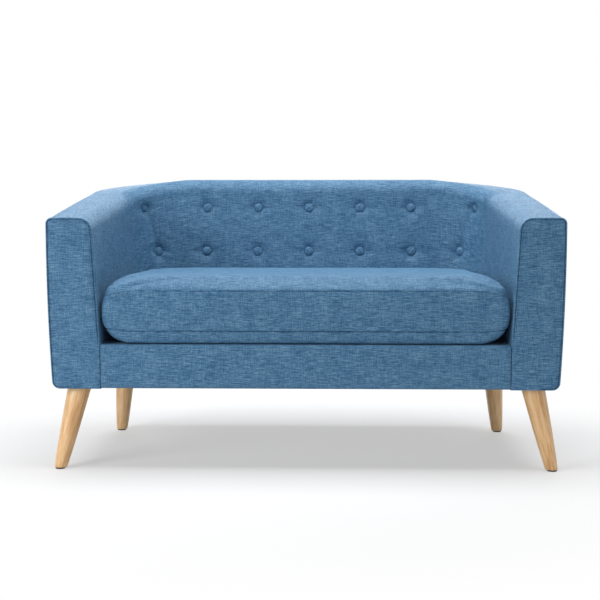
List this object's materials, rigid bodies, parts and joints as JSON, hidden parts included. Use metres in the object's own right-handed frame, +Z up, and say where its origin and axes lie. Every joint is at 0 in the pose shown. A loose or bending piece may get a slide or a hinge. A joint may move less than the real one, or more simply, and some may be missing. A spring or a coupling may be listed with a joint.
{
  "type": "two-seat tub settee",
  "caption": "Low tub settee with a continuous tufted back and arms, a loose bench cushion and splayed tapered wooden legs.",
  "frame": {"origin": "centre of the bounding box on the floor", "axes": "+X towards the settee's right side as seen from the front, front towards -Y, +Z up"},
  "size_m": [1.262, 0.69, 0.725],
  "materials": {
    "blue_linen": "linen-look woven upholstery cloth, slubby, matt",
    "button_linen": "the same cloth pulled over buttons",
    "dust_cloth": "black nonwoven lining",
    "deck_felt": "needled felt",
    "foam": "open-cell cushion foam",
    "zip_tape": "woven zip tape with a nylon coil",
    "zinc_steel": "zinc-plated",
    "oak_leg": "natural oak, turned, clear matt lacquer",
    "glide_plastic": "moulded, matt",
    "webbing": "elastic webbing",
    "fibreboard": "hardboard",
    "frame_timber": "sawn softwood and plywood"
  },
  "bodies": {
    "settee": {"inside_back": "blue_linen", "inside_arm_left": "blue_linen", "inside_arm_right": "blue_linen", "tufting_buttons": "button_linen", "outside_back": "blue_linen", "outside_arm_left": "blue_linen", "outside_arm_right": "blue_linen", "arm_front_left": "blue_linen", "arm_front_right": "blue_linen", "front_border": "blue_linen", "dust_cover": "dust_cloth", "deck_pad": "deck_felt", "seat_springs": "zinc_steel", "spring_clips": "zinc_steel", "front_rail": "frame_timber", "rear_rail": "frame_timber", "side_rail_left": "frame_timber", "side_rail_right": "frame_timber", "centre_brace": "frame_timber", "base_board_left": "frame_timber", "base_board_right": "frame_timber", "base_board_rear": "frame_timber", "corner_blocks": "frame_timber", "arm_posts_left": "frame_timber", "arm_posts_right": "frame_timber", "corner_post_left": "frame_timber", "corner_post_right": "frame_timber", "back_posts": "frame_timber", "arm_top_rail_left": "frame_timber", "arm_top_rail_right": "frame_timber", "corner_top_rail_left": "frame_timber", "corner_top_rail_right": "frame_timber", "back_top_rail": "frame_timber", "arm_lining_left": "fibreboard", "arm_lining_right": "fibreboard", "back_webbing": "webbing", "leg_front_left": "oak_leg", "leg_front_right": "oak_leg", "leg_rear_left": "oak_leg", "leg_rear_right": "oak_leg", "leg_plates": "zinc_steel", "hanger_bolts": "zinc_steel", "foot_glides": "glide_plastic"},
    "seat_cushion": {"cushion_cover": "blue_linen", "cushion_foam": "foam", "cushion_zip": "zip_tape"},
    "zip_slider": {"zip_slider": "zinc_steel"}
  },
  "joints": [
    {"name": "cushion_lift", "type": "slide", "parent": "settee", "child": "seat_cushion", "axis": [0, 0, 1], "range_m": [0, 0.45]},
    {"name": "zip_run", "type": "slide", "parent": "seat_cushion", "child": "zip_slider", "axis": [1, 0, 0], "range_m": [0, 0.618]}
  ]
}
